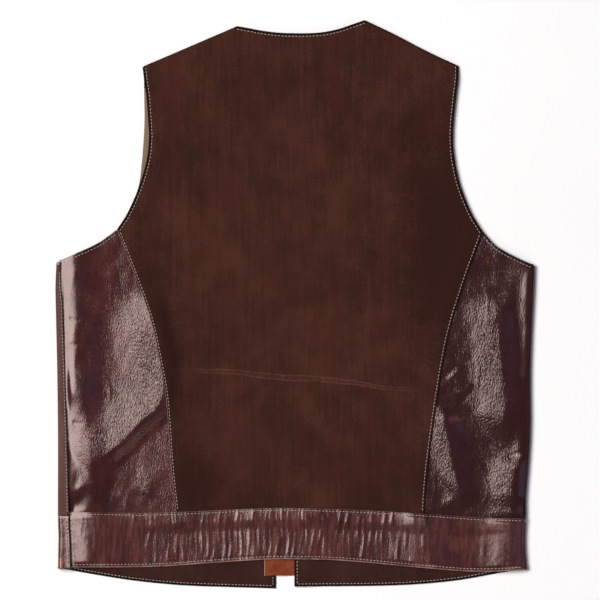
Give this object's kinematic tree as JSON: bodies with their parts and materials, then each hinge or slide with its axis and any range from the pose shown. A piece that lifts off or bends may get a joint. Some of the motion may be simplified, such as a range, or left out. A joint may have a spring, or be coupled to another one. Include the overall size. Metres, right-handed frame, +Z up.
{
  "type": "leather vest",
  "caption": "Leather vest laid flat with its back up: matte centre back, glossy side backs and waistband, fronts under it, curved hem.",
  "frame": {"origin": "on the surface under the middle of the vest, halfway across its width and its length", "axes": "+Y towards the neck, +X towards the wearer's right side, +Z up from the surface"},
  "size_m": [0.5276, 0.6254, 0.008],
  "materials": {
    "roughout": "matte brown roughout with a soft nap",
    "pebbled_leather": "glossy pebbled oxblood",
    "waistband_leather": "glossy brown, finely creased",
    "front_leather": "matte brown",
    "twill": "tan twill",
    "suede": "rust suede",
    "thread": "waxed off-white sewing thread"
  },
  "bodies": {
    "root": {"back_centre": "roughout", "back_side_left": "pebbled_leather", "back_side_right": "pebbled_leather", "back_band": "waistband_leather", "front_left": "front_leather", "front_right": "front_leather", "front_band_left": "waistband_leather", "front_band_right": "waistband_leather", "armhole_lining_left": "twill", "front_tab": "suede"}
  },
  "joints": []
}
